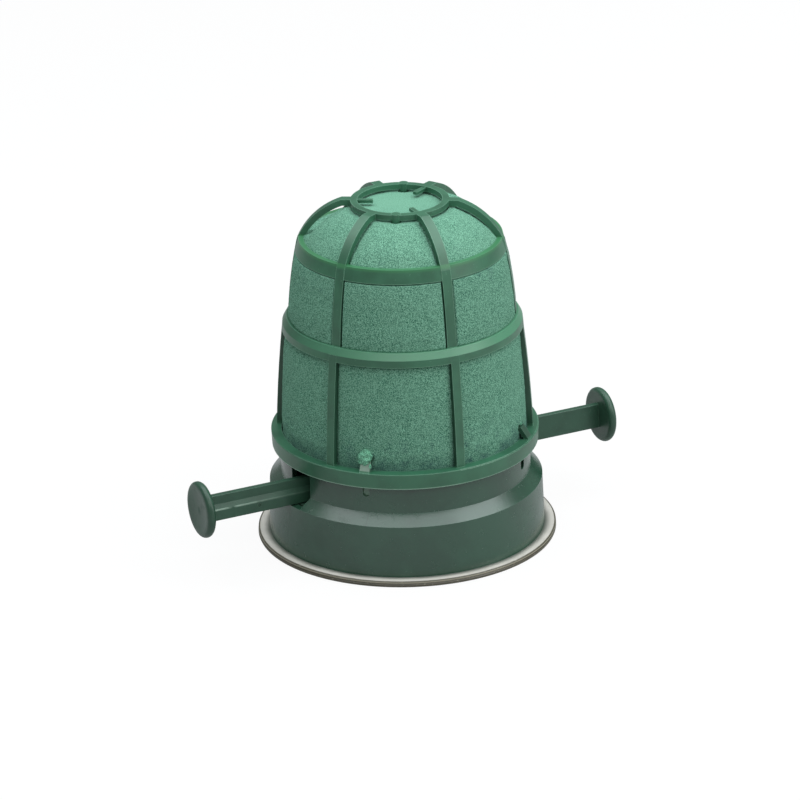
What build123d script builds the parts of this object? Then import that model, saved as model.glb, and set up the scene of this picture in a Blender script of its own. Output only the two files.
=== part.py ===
from build123d import *
import math
import os

# A florist's foam holder that stands on a suction cup. Millimetres, +Z up.
# The origin is the centre of the face the cup stands on, and the two slide bars run along X.
# The base and its bars look the same after half a turn about Z, so their places come in pairs.

# ---- Driving sizes ----------------------------------------------------------------------
# Clearances
slide_clearance = 0.3
fit_clearance = 0.3
foam_clearance = 0.2
contact_gap = 0.25

# Base housing
neck_diameter = 100.0
neck_height = 14.1
base_wall = 2.0
skirt_overhang = 4.7
skirt_draft = 0.7
skirt_height = 20.9
shoulder_height = 3.9
deck_overhang = 1.7
deck_thickness = 1.9
window_width = 13.2
window_side = 6.4
window_top_margin = 2.2
hold_down_thickness = 2.6
hold_down_margin = 8.0
neck_notch_angle = -134.0
neck_notch_width = 2.8
neck_notch_height = 4.0
neck_notch_depth = 0.8
neck_slot_angle = -48.0
neck_slot_width = 3.4
neck_slot_height = 6.0
neck_hole_drop = 0.8

# Suction cup
cup_overhang = 4.6
cup_edge_thickness = 2.4
cup_edge_round = 0.5
cup_ring_width = 8.5
cup_hollow = 3.4
cup_membrane = 2.6
cup_collar_thickness = 2.2
cup_collar_height = 4.0
cup_boss_wall = 3.2
cup_boss_height = 8.0

# Lift stud and its cross pin
stud_foot_overhang = 2.0
stud_foot_thickness = 2.4
stud_foot_depth = 3.2
stud_eye_wall = 3.5
pin_diameter = 4.0
pin_inset = 0.3

# Slide bars
bar_height = 10.2
bar_side = 3.8
bar_web = 2.6
bar_rail = 3.85
bar_rail_height = 4.6
bar_rail_slope = 2.0
bar_edge_round = 0.3
bar_tip = 9.0
bar_nose = 3.1
bar_travel = 34.0
bar_lift = 5.0
head_diameter = 22.6
head_thickness = 3.5
head_rim_round = 1.7
head_dish_margin = 2.6
head_dish_depth = 0.7
head_gap = 1.2
lug_length = 4.0
lug_height = 3.6
lug_reach = 2.4
lug_setback = 3.0
dimple_diameter = 1.6
dimple_depth = 0.4
dimple_setback = 21.9

# Guide frame
guide_floor_thickness = 3.0
guide_floor_margin = 1.9
guide_floor_drop = 0.2
guide_wall = 2.1
guide_wall_margin = 4.0
post_diameter = 9.0
post_margin = 9.05
post_angle = 41.9

# Guide screws
screw_diameter = 3.5
screw_head_diameter = 6.6
screw_head_height = 1.55
screw_length = 12.0
screw_slot_width = 0.9
screw_slot_depth = 0.8

# Cage, from the rim up
cage_turn = -30.8
rib_spread = 60.0
rib_width = 3.9
rib_depth = 2.5
crown_bow = 2.6
wall_bow = 0.65
lower_rib_width = 3.5
lower_rib_depth = 2.3
lower_rib_bow = 0.4
lower_rib_setback = 2.2
rim_wall = 1.5
rim_draft = 0.3
rim_height = 6.4
rim_edge_round = 0.4
land_thickness = 1.8
hook_angles = (-133.6, -46.4)
hook_margin = 0.5
hook_width = 4.0
hook_thickness = 1.6
hook_lean = 35.0
hook_reach = 4.8
mid_hoop_rise = 42.5
mid_hoop_inset = 3.4
mid_hoop_band = 2.8
mid_hoop_draft = 0.3
mid_hoop_ledge = 2.7
mid_hoop_ledge_width = 1.6
mid_hoop_thickness = 3.2
waist_step = 0.8
shoulder_inset = 4.2
shoulder_rise = 78.5
upper_hoop_rise = 74.7
upper_hoop_height = 5.4
upper_hoop_proud = 0.7
upper_hoop_draft = 1.5
upper_hoop_thickness = 2.0
crown_run = 3.5
ring_rise = 95.1
ring_bore = 33.4
ring_width = 2.8
ring_height = 2.1
prong_length = 6.2
prong_width = 1.9
prong_height = 1.3
prong_drop = 0.4
nub_diameter = 3.8
nub_height = 2.0
nub_rise = 0.25

# Foam, as steps in from the cage
foam_belly_inset = 1.5
foam_waist_inset = 0.2
foam_wall_inset = 0.1
foam_crown_inset = 1.0
foam_lower_bow = 0.4
foam_upper_bow = 0.35
foam_crown_bow = 1.7
foam_top_drop = 2.9

# ---- Heights ------------------------------------------------------------------------------
z_membrane = cup_hollow + cup_membrane
z_boss = z_membrane + cup_boss_height
z_skirt = cup_edge_thickness
z_shoulder = z_skirt + skirt_height
z_neck = z_shoulder + shoulder_height
z_ceiling = z_neck + neck_height
z_deck = z_ceiling + deck_thickness
z_land = z_deck + land_thickness
z_rim = z_land - rim_height
z_mid_hoop = z_land + mid_hoop_rise
z_ridge = z_mid_hoop + mid_hoop_band
z_ledge = z_ridge + mid_hoop_ledge
z_upper_hoop = z_land + upper_hoop_rise
z_upper_hoop_top = z_upper_hoop + upper_hoop_height
z_cage_shoulder = z_land + shoulder_rise
z_ring_top = z_land + ring_rise
z_ring = z_ring_top - ring_height

z_guide = z_shoulder - guide_floor_drop
z_bar = z_guide + slide_clearance
z_bar_top = z_bar + bar_height
z_hold_down = z_bar_top + slide_clearance
z_head = z_bar + bar_height / 2
bar_slope = bar_lift / bar_travel
z_pin_ramp = z_bar + bar_nose + bar_slope * bar_tip
z_pin = z_pin_ramp + (pin_diameter / 2 + contact_gap) * math.hypot(1, bar_slope)
z_stud_foot = z_boss - stud_foot_depth - stud_foot_thickness

# ---- Radii and places, from the neck outward and then up the cage ----------------------------
neck_radius = neck_diameter / 2
neck_inside = neck_radius - base_wall
skirt_upper_radius = neck_radius + skirt_overhang
skirt_lower_radius = skirt_upper_radius + skirt_draft
shoulder_turn = math.atan2(skirt_overhang, shoulder_height)
wall_mitre = base_wall * math.tan(shoulder_turn / 2)
cup_radius = skirt_lower_radius + cup_overhang
cup_seat_radius = cup_radius - cup_ring_width
deck_radius = neck_radius + deck_overhang
band_bore_radius = deck_radius + fit_clearance
rim_radius = band_bore_radius + rim_wall
hook_root_radius = rim_radius - hook_margin
hook_back_radius = hook_root_radius - hook_thickness / math.cos(math.radians(hook_lean))
rib_foot_radius = rim_radius - lower_rib_setback
foam_foot_radius = rib_foot_radius - lower_rib_depth
land_bore_radius = foam_foot_radius + fit_clearance
mid_hoop_lower_radius = rib_foot_radius - mid_hoop_inset
mid_hoop_ridge_radius = mid_hoop_lower_radius - mid_hoop_draft
mid_hoop_ledge_radius = mid_hoop_ridge_radius - mid_hoop_ledge_width
mid_hoop_bore_radius = mid_hoop_ridge_radius - mid_hoop_thickness
waist_radius = mid_hoop_ledge_radius - waist_step
shoulder_radius = waist_radius - shoulder_inset
upper_hoop_lower_radius = shoulder_radius + upper_hoop_proud
upper_hoop_upper_radius = upper_hoop_lower_radius - upper_hoop_draft
upper_hoop_lower_bore = upper_hoop_lower_radius - upper_hoop_thickness
upper_hoop_upper_bore = upper_hoop_upper_radius - upper_hoop_thickness
ring_bore_radius = ring_bore / 2
ring_middle_radius = ring_bore_radius + ring_width / 2
crown_radius = ring_bore_radius + ring_width + crown_run
foam_belly_radius = mid_hoop_lower_radius - foam_belly_inset
foam_waist_radius = waist_radius - foam_waist_inset
foam_wall_radius = upper_hoop_lower_radius - foam_wall_inset
foam_crown_radius = crown_radius - foam_crown_inset

bar_outside = bar_side + bar_rail
ramp_length = (bar_height - bar_nose) / bar_slope
head_side = bar_side + bar_web / 2
head_inner_face = skirt_upper_radius + bar_travel + head_gap
head_face_place = head_inner_face + head_thickness
lug_start = bar_tip - lug_setback - lug_length
pin_length = 2 * (bar_outside - pin_inset)
stud_thickness = 2 * (bar_side - slide_clearance)
stud_width = pin_diameter + 2 * stud_eye_wall
stud_foot_radius = stud_width / 2 + stud_foot_overhang
cup_boss_radius = stud_foot_radius + slide_clearance + cup_boss_wall

guide_floor_radius = skirt_upper_radius - base_wall - guide_floor_margin
guide_wall_end = neck_inside - guide_wall_margin
hold_down_place = neck_inside - hold_down_margin
channel_inside = bar_side - slide_clearance
channel_outside = bar_outside + slide_clearance
pocket_outside = bar_outside + lug_reach + slide_clearance
wall_outside = pocket_outside + guide_wall
web_start = stud_width / 2 + slide_clearance
post_radius = neck_inside - post_margin
post_place = (post_radius * math.cos(math.radians(post_angle)),
              post_radius * math.sin(math.radians(post_angle)))

rib_angles = [cage_turn + half + a for half in (0, 180) for a in (-rib_spread, 0, rib_spread)]
prong_angles = [cage_turn + a for a in (180, -rib_spread, rib_spread)]
nub_angles = [cage_turn - 90, cage_turn + 90]
hook_places = [half + a for half in (0, 180) for a in hook_angles]
post_places = [(x, y) for x in (-post_place[0], post_place[0]) for y in (-post_place[1], post_place[1])]


def radial_plane(angle):
    """The upright plane through the axis at this angle: its x runs outward and its y runs up."""
    turn = math.radians(angle)
    return Plane(origin=(0, 0, 0), x_dir=(math.cos(turn), math.sin(turn), 0),
                 z_dir=(math.sin(turn), -math.cos(turn), 0))


def tangent_plane(angle, radius, height):
    """A plane at this place that faces outward, with its y running up."""
    turn = math.radians(angle)
    return Plane(origin=(radius * math.cos(turn), radius * math.sin(turn), height),
                 x_dir=(-math.sin(turn), math.cos(turn), 0), z_dir=(math.cos(turn), math.sin(turn), 0))


# ---- Shapes of the cage that are also pressed into the foam, and the neck's cuts ----------
def upper_rib(angle, clearance=0.0):
    """One rib from the ring over the crown to the mid hoop; the clearance deepens and widens it."""
    with BuildPart() as rib:
        with BuildSketch(radial_plane(angle)):
            with BuildLine():
                start = (ring_middle_radius, z_ring_top)
                Line(start, (crown_radius, z_ring_top))
                SagittaArc((crown_radius, z_ring_top), (shoulder_radius, z_cage_shoulder), crown_bow)
                SagittaArc((shoulder_radius, z_cage_shoulder), (waist_radius, z_ledge), wall_bow)
                Line((waist_radius, z_ledge), (waist_radius, z_ridge))
                offset(amount=rib_depth + clearance, side=Side.RIGHT)
            make_face()
        extrude(amount=rib_width / 2 + clearance, both=True)
    return rib.part


def lower_rib(angle, clearance=0.0):
    """One rib from the mid hoop down to the underside of the land."""
    with BuildPart() as rib:
        with BuildSketch(radial_plane(angle)):
            with BuildLine():
                Line((mid_hoop_ridge_radius, z_ridge), (mid_hoop_lower_radius, z_mid_hoop))
                SagittaArc((mid_hoop_lower_radius, z_mid_hoop), (rib_foot_radius, z_land),
                           lower_rib_bow)
                Line((rib_foot_radius, z_land), (rib_foot_radius, z_deck))
                offset(amount=lower_rib_depth + clearance, side=Side.RIGHT)
            make_face()
        extrude(amount=lower_rib_width / 2 + clearance, both=True)
    return rib.part


def nub(angle, clearance=0.0):
    """A small round stop through the ring; it hangs down below it and stands just proud on top."""
    bottom = z_ring - nub_height - clearance
    with BuildPart() as block:
        with BuildSketch(Plane.XY.offset(bottom)):
            with Locations(Rot(0, 0, angle) * Pos(ring_middle_radius, 0)):
                Circle(nub_diameter / 2 + clearance)
        extrude(amount=z_ring_top + nub_rise - bottom)
    return block.part


def hook(angle, clearance=0.0):
    """A hook that stands on the land near its edge and leans in over the foam's foot."""
    top = z_land + hook_reach + clearance
    embedded = z_land - land_thickness / 2
    outer_root, inner_root = hook_root_radius + clearance, hook_back_radius - clearance
    shift = (top - z_land) * math.tan(math.radians(hook_lean))
    with BuildPart() as tab:
        with BuildSketch(radial_plane(angle)):
            Polygon((inner_root, embedded), (outer_root, embedded), (outer_root, z_land),
                    (outer_root - shift, top), (inner_root - shift, top), (inner_root, z_land), align=None)
        extrude(amount=hook_width / 2 + clearance, both=True)
    return tab.part


def neck_cut(angle, width, height, depth):
    """A D-shaped cutter that stands this deep in the neck, below the band."""
    with BuildPart() as cutter:
        with BuildSketch(tangent_plane(angle, neck_radius - depth, z_rim - neck_hole_drop)):
            with Locations((0, width / 2 - height)):
                Circle(width / 2)
            Rectangle(width, height - width / 2, align=(Align.CENTER, Align.MAX))
        extrude(amount=depth + base_wall)
    return cutter.part


# ---- Cage ---------------------------------------------------------------------------------
os.makedirs("parts", exist_ok=True)

with BuildPart() as cage:
    # Rim: a flat land on the deck and a band that hangs over the neck
    with BuildSketch(Plane.XZ) as rim_section:
        Polygon((land_bore_radius, z_deck), (band_bore_radius, z_deck), (band_bore_radius, z_rim),
                (rim_radius - rim_draft, z_rim), (rim_radius, z_land), (land_bore_radius, z_land),
                align=None)
        fillet(rim_section.vertices().group_by(Axis.X)[-1], rim_edge_round)
        fillet(rim_section.vertices().group_by(Axis.Y)[0].sort_by(Axis.X)[-1], rim_edge_round)
    revolve(axis=Axis.Z)
    # Hooks that hold the foam, each over a slot in the land that is open to the bore
    for angle in hook_places:
        with BuildSketch(radial_plane(angle)):
            with Locations((hook_back_radius, z_deck)):
                Rectangle(hook_back_radius / 2, 2 * land_thickness, align=(Align.MAX, Align.CENTER))
        extrude(amount=hook_width / 2, both=True, mode=Mode.SUBTRACT)
        add(hook(angle))
    # Mid hoop: an upright band with a sloping ledge on top
    with BuildSketch(Plane.XZ):
        Polygon((mid_hoop_bore_radius, z_mid_hoop), (mid_hoop_lower_radius, z_mid_hoop),
                (mid_hoop_ridge_radius, z_ridge), (mid_hoop_ledge_radius, z_ledge),
                (mid_hoop_bore_radius, z_ledge), align=None)
    revolve(axis=Axis.Z)
    # Ribs, shoulder hoop and top ring
    for angle in rib_angles:
        add(lower_rib(angle))
        add(upper_rib(angle))
    with BuildSketch(Plane.XZ):
        Polygon((upper_hoop_lower_bore, z_upper_hoop), (upper_hoop_lower_radius, z_upper_hoop),
                (upper_hoop_upper_radius, z_upper_hoop_top), (upper_hoop_upper_bore, z_upper_hoop_top),
                align=None)
    revolve(axis=Axis.Z)
    with BuildSketch(Plane.XY.offset(z_ring)):
        Circle(ring_bore_radius + ring_width)
    extrude(amount=ring_height)
    with BuildSketch(Plane.XY.offset(z_ring - rib_depth)):
        Circle(ring_bore_radius)
    extrude(amount=ring_height + 2 * rib_depth, mode=Mode.SUBTRACT)
    # Prongs that reach into the ring, and stops through it
    for angle in prong_angles:
        with BuildSketch(Plane.XY.offset(z_ring_top - prong_drop)):
            with Locations(Rot(0, 0, angle) * Pos(ring_bore_radius - prong_length, 0)):
                Rectangle(prong_length + ring_width / 2, prong_width,
                          align=(Align.MIN, Align.CENTER))
        extrude(amount=-prong_height)
    for angle in nub_angles:
        add(nub(angle))
cage.part.label = "cage"
export_step(cage.part, "parts/cage.step")

# ---- Foam block ---------------------------------------------------------------------------
with BuildPart() as foam_block:
    # Outline with a step under each hoop, so the foam bulges between the hoops
    under_mid_hoop = z_mid_hoop - foam_clearance
    over_mid_hoop = z_ledge + foam_clearance
    mid_groove_radius = mid_hoop_bore_radius - foam_clearance
    under_upper_hoop = z_upper_hoop - foam_clearance
    foam_shoulder = (upper_hoop_upper_bore - foam_clearance, z_upper_hoop_top + foam_clearance)
    foam_crown = (foam_crown_radius, z_ring_top - foam_top_drop)
    with BuildSketch(Plane.XZ):
        with BuildLine():
            Polyline(foam_crown, (0, foam_crown[1]), (0, z_deck), (foam_foot_radius, z_deck))
            SagittaArc((foam_foot_radius, z_deck), (foam_belly_radius, under_mid_hoop), -foam_lower_bow)
            Polyline((foam_belly_radius, under_mid_hoop), (mid_groove_radius, under_mid_hoop),
                     (mid_groove_radius, over_mid_hoop), (foam_waist_radius, over_mid_hoop))
            SagittaArc((foam_waist_radius, over_mid_hoop), (foam_wall_radius, under_upper_hoop),
                       -foam_upper_bow)
            Polyline((foam_wall_radius, under_upper_hoop),
                     (upper_hoop_lower_bore - foam_clearance, under_upper_hoop), foam_shoulder)
            SagittaArc(foam_shoulder, foam_crown, -foam_crown_bow)
        make_face()
    revolve(axis=Axis.Z)
    for angle in rib_angles:
        add(lower_rib(angle, foam_clearance), mode=Mode.SUBTRACT)
        add(upper_rib(angle, foam_clearance), mode=Mode.SUBTRACT)
    for angle in nub_angles:
        add(nub(angle, foam_clearance), mode=Mode.SUBTRACT)
    for angle in hook_places:
        add(hook(angle, foam_clearance), mode=Mode.SUBTRACT)
foam_block.part.label = "foam_block"
export_step(foam_block.part, "parts/foam_block.step")

# ---- Base housing -------------------------------------------------------------------------
with BuildPart() as base_housing:
    # Shell: skirt, shoulder, neck and the deck that the foam stands on
    with BuildSketch(Plane.XZ):
        Polygon((skirt_lower_radius - base_wall, z_skirt), (skirt_lower_radius, z_skirt),
                (skirt_upper_radius, z_shoulder), (neck_radius, z_neck), (neck_radius, z_ceiling),
                (deck_radius, z_ceiling), (deck_radius, z_deck), (0, z_deck), (0, z_ceiling),
                (neck_inside, z_ceiling), (neck_inside, z_neck - wall_mitre),
                (skirt_upper_radius - base_wall, z_shoulder - wall_mitre), align=None)
    revolve(axis=Axis.Z)
    # Windows that the slide bars pass through
    window_height = z_ceiling - window_top_margin - z_guide
    for side in (-1, 1):
        with Locations((side * neck_radius, side * window_side, z_guide)):
            Box(4 * (skirt_lower_radius - neck_radius), window_width, window_height,
                align=(Align.CENTER, Align.CENTER, Align.MIN), mode=Mode.SUBTRACT)
    # Ribs under the deck that hold the bars down
    for side in (-1, 1):
        with Locations((side * hold_down_place, 0, z_hold_down)):
            Box(hold_down_thickness, 2 * wall_outside, z_deck - deck_thickness / 2 - z_hold_down,
                align=(Align.CENTER, Align.CENTER, Align.MIN))
    # A D-shaped notch or slot in the neck near each of the cage's hooks
    for half in (0, 180):
        add(neck_cut(half + neck_notch_angle, neck_notch_width, neck_notch_height, neck_notch_depth),
            mode=Mode.SUBTRACT)
        add(neck_cut(half + neck_slot_angle, neck_slot_width, neck_slot_height, 2 * base_wall),
            mode=Mode.SUBTRACT)
    # Countersunk holes for the guide screws
    with Locations(*[(x, y, z_deck) for x, y in post_places]):
        CounterSinkHole(screw_diameter / 2, screw_head_diameter / 2, depth=3 * deck_thickness)
base_housing.part.label = "base_housing"
export_step(base_housing.part, "parts/base_housing.step")

# ---- Slide bars ---------------------------------------------------------------------------
with BuildPart() as slide_bar_left:
    # Bar: a web over a thicker rail, flat on the side that faces the stud
    with BuildSketch(Plane.YZ.offset(-head_inner_face)) as bar_section:
        Polygon((-bar_side, z_bar), (-bar_side, z_bar_top), (-bar_side - bar_web, z_bar_top),
                (-bar_side - bar_web, z_bar + bar_rail_height + bar_rail_slope),
                (-bar_outside, z_bar + bar_rail_height), (-bar_outside, z_bar), align=None)
        fillet(bar_section.vertices(), bar_edge_round)
    extrude(amount=head_inner_face + bar_tip)
    # Ramp at the inner end that lifts the cross pin
    with BuildSketch(Plane.XZ):
        Polygon((bar_tip, z_bar + bar_nose), (bar_tip, z_bar_top), (bar_tip - ramp_length, z_bar_top),
                align=None)
    extrude(amount=2 * bar_outside, both=True, mode=Mode.SUBTRACT)
    # Lug that stops the bar from being pulled out
    with Locations((lug_start, -bar_side - bar_rail / 2, z_bar)):
        Box(lug_length, bar_rail / 2 + lug_reach, lug_height, align=(Align.MIN, Align.MAX, Align.MIN))
    # Press button: a round disc with a rounded rim and a dished face
    head_radius = head_diameter / 2
    with BuildSketch(Plane(origin=(0, -head_side, z_head), x_dir=(1, 0, 0), z_dir=(0, -1, 0))) as head:
        with BuildLine():
            dish = TangentArc((head_dish_depth - head_face_place, 0),
                              (-head_face_place, head_radius - head_dish_margin), tangent=(0, 1))
            Polyline(dish @ 1, (-head_face_place, head_radius), (-head_inner_face, head_radius),
                     (-head_inner_face, 0), dish @ 0)
        make_face()
        fillet(head.vertices().group_by(Axis.Y)[-1], head_rim_round)
    revolve(axis=Axis((0, -head_side, z_head), (1, 0, 0)))
    # Dimple on the rail
    with BuildSketch(Plane.XZ.offset(bar_outside)):
        with Locations((dimple_setback - head_inner_face, z_bar + bar_rail_height - dimple_diameter)):
            Circle(dimple_diameter / 2)
    extrude(amount=-dimple_depth, mode=Mode.SUBTRACT)
slide_bar_left.part.label = "slide_bar_left"
export_step(slide_bar_left.part, "parts/slide_bar_left.step")

with BuildPart() as slide_bar_right:
    add(slide_bar_left.part, rotation=(0, 0, 180))
slide_bar_right.part.label = "slide_bar_right"
export_step(slide_bar_right.part, "parts/slide_bar_right.step")

# ---- Guide frame --------------------------------------------------------------------------
with BuildPart() as guide_frame:
    # Floor that the bars slide on, with a slot for the stud
    with BuildSketch(Plane.XY.offset(z_guide - guide_floor_thickness)):
        Circle(guide_floor_radius)
        Rectangle(stud_width + 2 * slide_clearance, stud_thickness + 2 * slide_clearance, mode=Mode.SUBTRACT)
    extrude(amount=guide_floor_thickness)
    # Channel walls: thick beside each bar, thin beside the pocket that its lug runs in
    with BuildSketch(Plane.XY.offset(z_guide)):
        for side in (-1, 1):
            with Locations(Rot(0, 0, 90 + 90 * side)):
                with Locations((-guide_wall_end, -wall_outside)):
                    Rectangle(guide_wall_end + lug_start - slide_clearance, wall_outside - channel_outside,
                              align=(Align.MIN, Align.MIN))
                    Rectangle(2 * guide_wall_end, guide_wall, align=(Align.MIN, Align.MIN))
                for inner_side in (-1, 1):
                    with Locations((guide_wall_end, inner_side * (channel_inside - guide_wall / 2))):
                        Rectangle(guide_wall_end - web_start, guide_wall, align=(Align.MAX, Align.CENTER))
    extrude(amount=z_hold_down - z_guide)
    # Posts that the screws pull up against the deck
    with BuildSketch(Plane.XY.offset(z_guide)):
        with Locations(*post_places):
            Circle(post_diameter / 2)
    extrude(amount=z_ceiling - z_guide)
    with Locations(*[(x, y, z_ceiling) for x, y in post_places]):
        Hole(screw_diameter / 2, depth=screw_length)
guide_frame.part.label = "guide_frame"
export_step(guide_frame.part, "parts/guide_frame.step")

# ---- Guide screws -------------------------------------------------------------------------
with BuildPart() as guide_screws:
    with Locations(*[(x, y, z_deck) for x, y in post_places]):
        Cylinder(screw_diameter / 2, screw_length, align=(Align.CENTER, Align.CENTER, Align.MAX))
        Cone(screw_diameter / 2, screw_head_diameter / 2, screw_head_height,
             align=(Align.CENTER, Align.CENTER, Align.MAX))
        Box(screw_head_diameter, screw_slot_width, screw_slot_depth,
            align=(Align.CENTER, Align.CENTER, Align.MAX), mode=Mode.SUBTRACT)
guide_screws.part.label = "guide_screws"
export_step(guide_screws.part, "parts/guide_screws.step")

# ---- Lift stud and pin --------------------------------------------------------------------
with BuildPart() as lift_stud:
    with BuildSketch(Plane.XY.offset(z_stud_foot)):
        Circle(stud_foot_radius)
    extrude(amount=stud_foot_thickness)
    with BuildSketch(Plane.XZ):
        with Locations((0, z_pin)):
            Circle(stud_width / 2)
        with Locations((0, z_stud_foot)):
            Rectangle(stud_width, z_pin - z_stud_foot, align=(Align.CENTER, Align.MIN))
    extrude(amount=stud_thickness / 2, both=True)
    with BuildSketch(Plane.XZ):
        with Locations((0, z_pin)):
            Circle(pin_diameter / 2)
    extrude(amount=stud_thickness, both=True, mode=Mode.SUBTRACT)
lift_stud.part.label = "lift_stud"
export_step(lift_stud.part, "parts/lift_stud.step")

with BuildPart() as lift_pin:
    with BuildSketch(Plane.XZ):
        with Locations((0, z_pin)):
            Circle(pin_diameter / 2)
    extrude(amount=pin_length / 2, both=True)
    chamfer(lift_pin.edges(), pin_inset)
lift_pin.part.label = "lift_pin"
export_step(lift_pin.part, "parts/lift_pin.step")

# ---- Suction cup --------------------------------------------------------------------------
with BuildPart() as suction_cup:
    # Sealing ring, hollow underside and domed membrane
    collar_radius = skirt_lower_radius - base_wall - fit_clearance
    collar_inside = collar_radius - cup_collar_thickness
    with BuildSketch(Plane.XZ) as cup_section:
        with BuildLine():
            under = TangentArc((0, cup_hollow), (cup_seat_radius, 0), tangent=(1, 0))
            over = TangentArc((0, z_membrane), (collar_inside, cup_edge_thickness), tangent=(1, 0))
            Polyline(under @ 1, (cup_radius, 0), (cup_radius, cup_edge_thickness), over @ 1)
            Line(under @ 0, over @ 0)
        make_face()
        fillet(cup_section.vertices().group_by(Axis.X)[-1], cup_edge_round)
    revolve(axis=Axis.Z)
    # Collar that plugs into the skirt
    with BuildSketch(Plane.XY.offset(cup_edge_thickness)):
        Circle(collar_radius)
        Circle(collar_inside, mode=Mode.SUBTRACT)
    extrude(amount=cup_collar_height)
    # Boss that grips the stud's foot
    with BuildSketch(Plane.XY.offset(cup_hollow + cup_membrane / 2)):
        Circle(cup_boss_radius)
    extrude(amount=z_boss - cup_hollow - cup_membrane / 2)
    with BuildSketch(Plane.XY.offset(z_stud_foot - slide_clearance)):
        Circle(stud_foot_radius + slide_clearance)
    extrude(amount=stud_foot_thickness + 2 * slide_clearance, mode=Mode.SUBTRACT)
    with BuildSketch(Plane.XY.offset(z_stud_foot)):
        Rectangle(stud_width + 2 * slide_clearance, stud_thickness + 2 * slide_clearance)
    extrude(amount=z_boss - z_stud_foot, mode=Mode.SUBTRACT)
suction_cup.part.label = "suction_cup"
export_step(suction_cup.part, "parts/suction_cup.step")
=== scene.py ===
"""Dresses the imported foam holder: foam, satin mouldings, a vinyl cup and a plain studio."""

from __future__ import annotations

import logging
import math
from dataclasses import dataclass
from enum import Enum
from typing import Any, Callable, Iterable, Sequence

import bmesh
import bpy
import numpy as np
from mathutils import Matrix, Vector, noise


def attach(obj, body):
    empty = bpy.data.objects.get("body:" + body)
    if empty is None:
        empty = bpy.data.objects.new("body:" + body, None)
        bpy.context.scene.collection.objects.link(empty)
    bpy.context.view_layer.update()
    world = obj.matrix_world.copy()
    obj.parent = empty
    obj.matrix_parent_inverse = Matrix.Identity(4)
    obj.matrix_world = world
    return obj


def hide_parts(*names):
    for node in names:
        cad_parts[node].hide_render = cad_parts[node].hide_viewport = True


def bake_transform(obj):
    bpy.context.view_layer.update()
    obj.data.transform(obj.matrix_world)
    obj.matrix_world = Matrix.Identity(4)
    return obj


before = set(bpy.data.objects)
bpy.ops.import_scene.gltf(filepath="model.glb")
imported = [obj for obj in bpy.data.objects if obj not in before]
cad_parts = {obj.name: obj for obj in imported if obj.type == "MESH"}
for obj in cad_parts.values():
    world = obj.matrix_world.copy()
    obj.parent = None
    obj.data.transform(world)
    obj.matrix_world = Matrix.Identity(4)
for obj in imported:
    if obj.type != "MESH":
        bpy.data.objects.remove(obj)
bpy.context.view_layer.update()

log = logging.getLogger("foam_holder")

MM = 0.001
ON_AXIS = 1e-6
CAGE_BITE = 0.15
EDGE_SAMPLES = 6
SKY_SAMPLES = 8
PLASTIC_IOR = 1.49
VINYL_IOR = 1.53
PIT_SHIFT = Vector((9.0, 4.0, 2.0))
WHITE = (1.0, 1.0, 1.0)
SKYLIGHT = (0.95, 1.0, 1.03)
UP = Vector((0.0, 0.0, 1.0))

Pair = tuple[float, float]
Triple = tuple[float, float, float]
Colour = Triple


# ---- Shader graph ----
class Field:
    """A shader value that takes part in sums: each operator adds the Math node that it needs."""

    def __init__(self, graph: Graph, socket: bpy.types.NodeSocket) -> None:
        """Wraps one output socket of a graph."""
        self.graph = graph
        self.socket = socket

    def _math(self, operation: str, *values: Any) -> Field:
        """Adds one Math node, with fields or numbers as its inputs in order."""
        inputs = dict(enumerate(values))
        return self.graph.node("ShaderNodeMath", {"operation": operation}, inputs).field(0)

    def __add__(self, other: Any) -> Field:
        """Self plus other."""
        return self._math("ADD", self, other)

    __radd__ = __add__

    def __sub__(self, other: Any) -> Field:
        """Self minus other."""
        return self._math("SUBTRACT", self, other)

    def __rsub__(self, other: Any) -> Field:
        """Other minus self."""
        return self._math("SUBTRACT", other, self)

    def __mul__(self, other: Any) -> Field:
        """Self times other."""
        return self._math("MULTIPLY", self, other)

    __rmul__ = __mul__

    def __truediv__(self, other: Any) -> Field:
        """Self over other."""
        return self._math("DIVIDE", self, other)

    def __pow__(self, power: float) -> Field:
        """Self to a power."""
        return self._math("POWER", self, power)

    def __abs__(self) -> Field:
        """Self without its sign."""
        return self._math("ABSOLUTE", self)

    def ramp(self, low: float, high: float) -> Field:
        """Rises smoothly from 0 at low to 1 at high, or falls where high is below low.

        Args:
            low: The value that gives 0.
            high: The value that gives 1.

        Returns:
            The eased share between them.
        """
        first, last, start, end = (low, high, 0.0, 1.0) if low < high else (high, low, 1.0, 0.0)
        settings = {"interpolation_type": "SMOOTHSTEP"}
        inputs = {"Value": self, "From Min": first, "From Max": last, "To Min": start,
                  "To Max": end}
        return self.graph.node("ShaderNodeMapRange", settings, inputs).field("Result")

    def between(self, low: float, high: float, fade: float) -> Field:
        """Is 1 from low to high and fades out beyond both."""
        return self.ramp(low - fade, low) * self.ramp(high + fade, high)


@dataclass(frozen=True)
class Spot:
    """A surface point or a direction, whole and split into its three numbers."""

    whole: Field
    x: Field
    y: Field
    z: Field

    def radius(self) -> Field:
        """How far it is from the part's axis."""
        return (self.x * self.x + self.y * self.y) ** 0.5

    def toward(self, degrees: float) -> Field:
        """How far it lies along the level direction at an angle."""
        turn = math.radians(degrees)
        return self.x * math.cos(turn) + self.y * math.sin(turn)

    def aside(self, degrees: float) -> Field:
        """How far it lies to the left of the level direction at an angle."""
        turn = math.radians(degrees)
        return self.y * math.cos(turn) - self.x * math.sin(turn)


class NodeOutputs:
    """The outputs of a node that has just been made."""

    def __init__(self, graph: Graph, node: bpy.types.Node) -> None:
        """Wraps a node of a graph."""
        self.graph = graph
        self.made = node

    def field(self, key: str | int) -> Field:
        """One output, by its name or place."""
        return Field(self.graph, self.made.outputs[key])


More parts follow.
